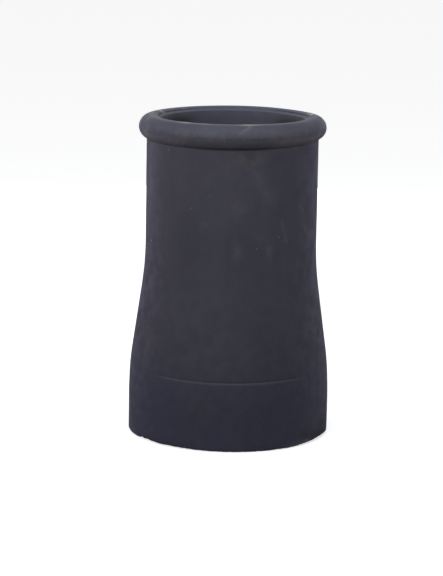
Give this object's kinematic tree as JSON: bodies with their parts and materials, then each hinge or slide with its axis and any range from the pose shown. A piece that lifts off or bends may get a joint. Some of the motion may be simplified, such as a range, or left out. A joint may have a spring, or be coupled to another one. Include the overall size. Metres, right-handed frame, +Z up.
{
  "type": "chimney pot",
  "caption": "Roll-top clay chimney pot: a hollow round barrel on a flared foot, with a thick rolled rim round its open mouth, to end a flue above the stack.",
  "frame": {"origin": "centre of the underside that beds on the stack", "axes": "+Z up the flue's axis, -Y towards the side that the picture shows"},
  "size_m": [0.2836, 0.2836, 0.45],
  "materials": {
    "slipped_clay": "matt blue-black slip over fired clay, worn towards the tan clay along the crest of the roll"
  },
  "bodies": {
    "root": {"chimney_pot": "slipped_clay"}
  },
  "joints": []
}
